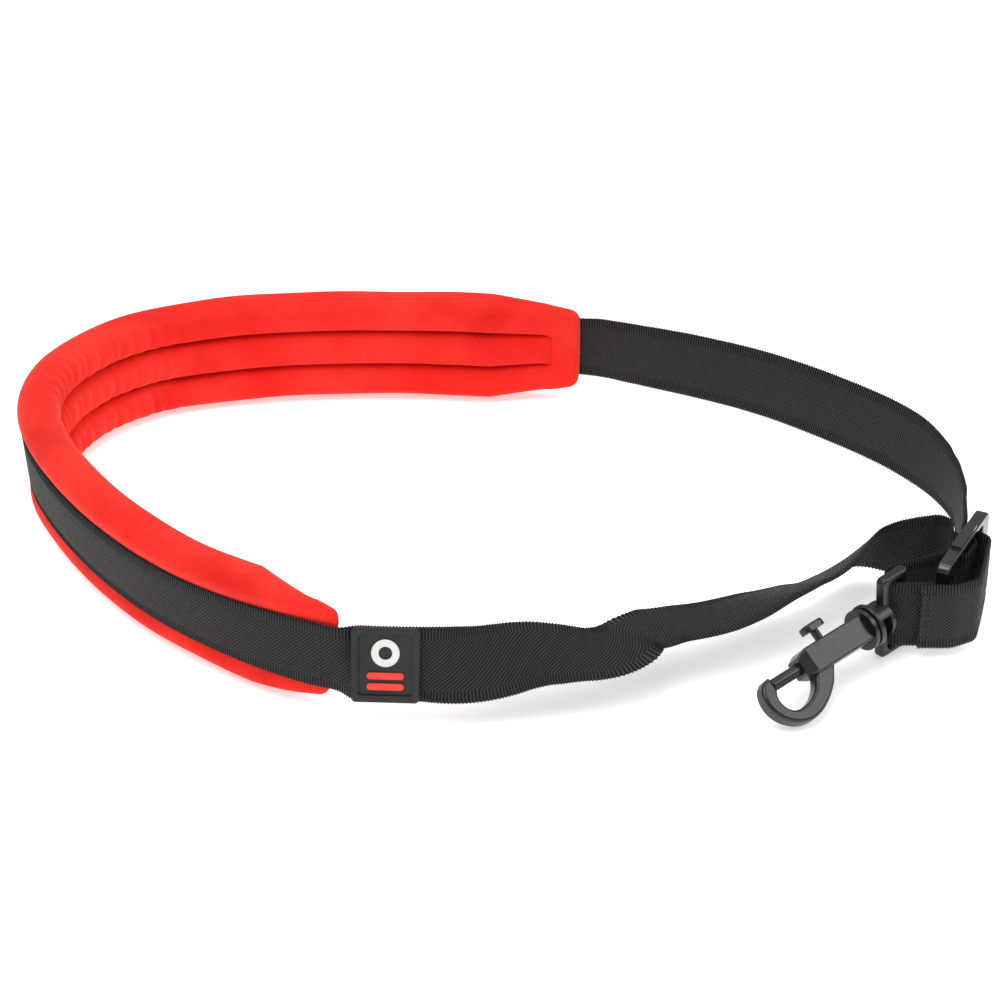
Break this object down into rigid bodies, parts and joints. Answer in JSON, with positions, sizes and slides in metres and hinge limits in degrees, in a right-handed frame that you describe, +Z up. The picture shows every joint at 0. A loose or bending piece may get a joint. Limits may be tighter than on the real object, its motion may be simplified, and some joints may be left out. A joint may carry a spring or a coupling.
{
  "type": "saxophone neck strap",
  "caption": "Padded neck strap with flat webbing legs, a slotted slider and a swivel snap hook with a thumb-operated bolt.",
  "frame": {"origin": "middle of the base of the whole strap as it stands on its edge", "axes": "+Z up through the height of the webbing, +X from the padded neck band towards the snap hook, +Y towards the right-hand leg"},
  "size_m": [0.3467, 0.2459, 0.044],
  "materials": {
    "red_velour": "short plush velour",
    "foam": "soft closed-cell foam",
    "red_thread": "sewing thread",
    "black_thread": "sewing thread",
    "black_webbing": "woven nylon twill with ribbed selvedges",
    "black_rubber": "moulded, satin",
    "white_rubber": "moulded, satin",
    "red_rubber": "moulded, satin",
    "slider_plastic": "gloss moulded acetal",
    "hook_plastic": "satin moulded acetal",
    "pin_steel": "plain steel"
  },
  "bodies": {
    "strap": {"pad_outer_cover": "red_velour", "pad_inner_cover": "red_velour", "foam_core_lower": "foam", "foam_core_middle": "foam", "foam_core_upper": "foam", "channel_stitching": "red_thread", "pad_end_stitches": "black_thread", "webbing_over_pad": "black_webbing", "webbing_left_leg": "black_webbing", "webbing_right_leg": "black_webbing", "webbing_front_ply": "black_webbing", "webbing_adjuster_loop": "black_webbing", "seam_stitches": "black_thread", "rubber_patch": "black_rubber", "patch_stitches": "black_thread", "emblem_ring": "white_rubber", "emblem_bars": "red_rubber"},
    "slider": {"slider": "slider_plastic"},
    "ring": {"swivel_ring": "hook_plastic"},
    "hook": {"hook_body": "hook_plastic", "swivel_post": "pin_steel", "bolt_spring": "pin_steel"},
    "bolt": {"locking_bolt": "hook_plastic", "thumb_knob": "hook_plastic"}
  },
  "joints": [
    {"name": "slider_play", "type": "slide", "parent": "strap", "child": "slider", "axis": [0.456, 0.89, 0], "range_m": [-0.0008, 0.0008]},
    {"name": "ring_swing", "type": "hinge", "parent": "strap", "child": "ring", "pos_m": [0.1374, -0.0714, 0.0165], "axis": [-0.0548, -0.0486, 0.9973], "range_deg": [-10, 30]},
    {"name": "hook_swivel", "type": "hinge", "parent": "ring", "child": "hook", "pos_m": [0.1374, -0.0714, 0.0165], "axis": [-0.7458, -0.6621, -0.0732], "continuous": true},
    {"name": "bolt_pull", "type": "slide", "parent": "hook", "child": "bolt", "axis": [0.7458, 0.6621, 0.0732], "range_m": [0, 0.009], "stiffness_N_per_m": 300, "deforming": ["bolt_spring"]}
  ]
}
